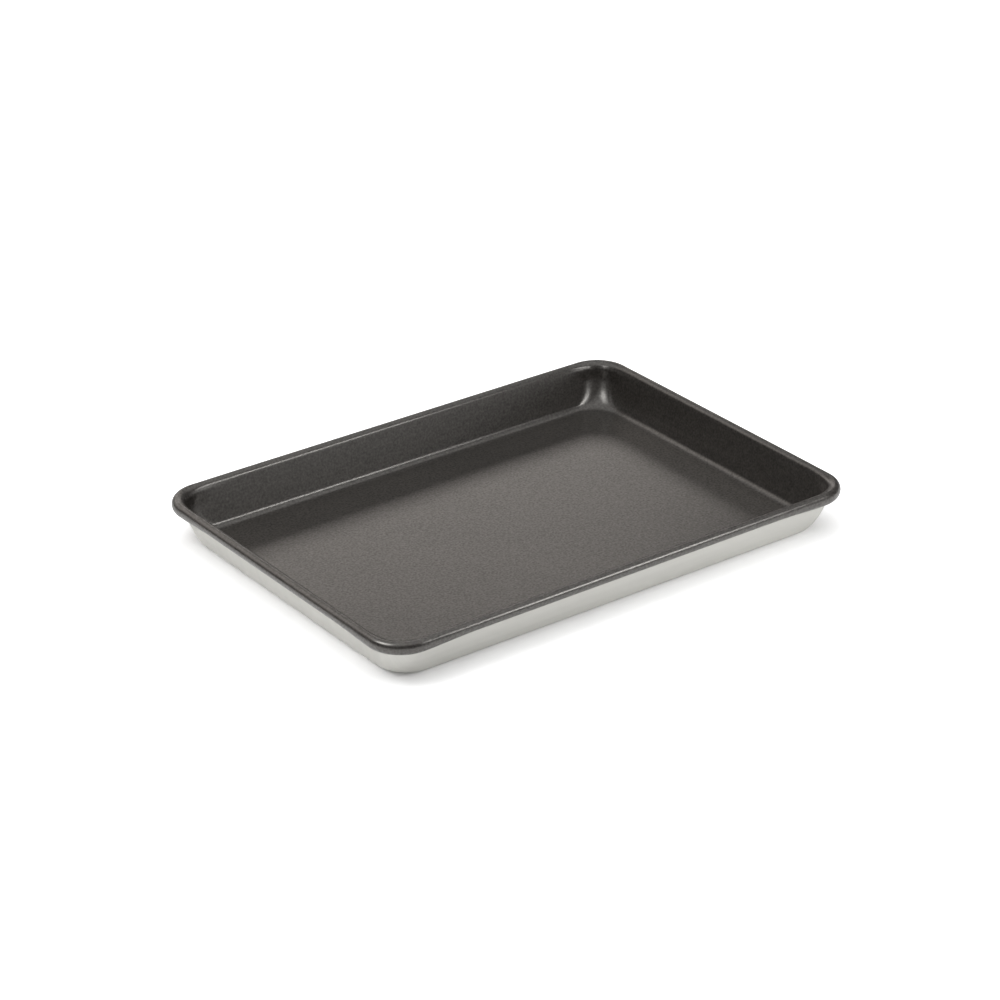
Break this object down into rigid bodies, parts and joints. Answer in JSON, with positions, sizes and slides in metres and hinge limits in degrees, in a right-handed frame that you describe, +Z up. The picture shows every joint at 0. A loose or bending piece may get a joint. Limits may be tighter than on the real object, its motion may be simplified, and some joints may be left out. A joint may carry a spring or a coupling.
{
  "type": "sheet pan",
  "caption": "Shallow rectangular baking sheet pan of drawn aluminium with leaning walls, rounded corners, a rim curled round a steel wire and a dark non-stick inside.",
  "frame": {"origin": "on the table, under the middle of the base", "axes": "+X along the long side, +Y along the short side, +Z up out of the tray"},
  "size_m": [0.3302, 0.2414, 0.028],
  "materials": {
    "satin_aluminium": "satin, as rolled and drawn",
    "galvanised_steel": "dull zinc",
    "charcoal_nonstick": "semi-gloss baked fluoropolymer with a faint pebble"
  },
  "bodies": {
    "root": {"pan_body": "satin_aluminium", "rim_wire": "galvanised_steel", "nonstick_coating": "charcoal_nonstick"}
  },
  "joints": []
}
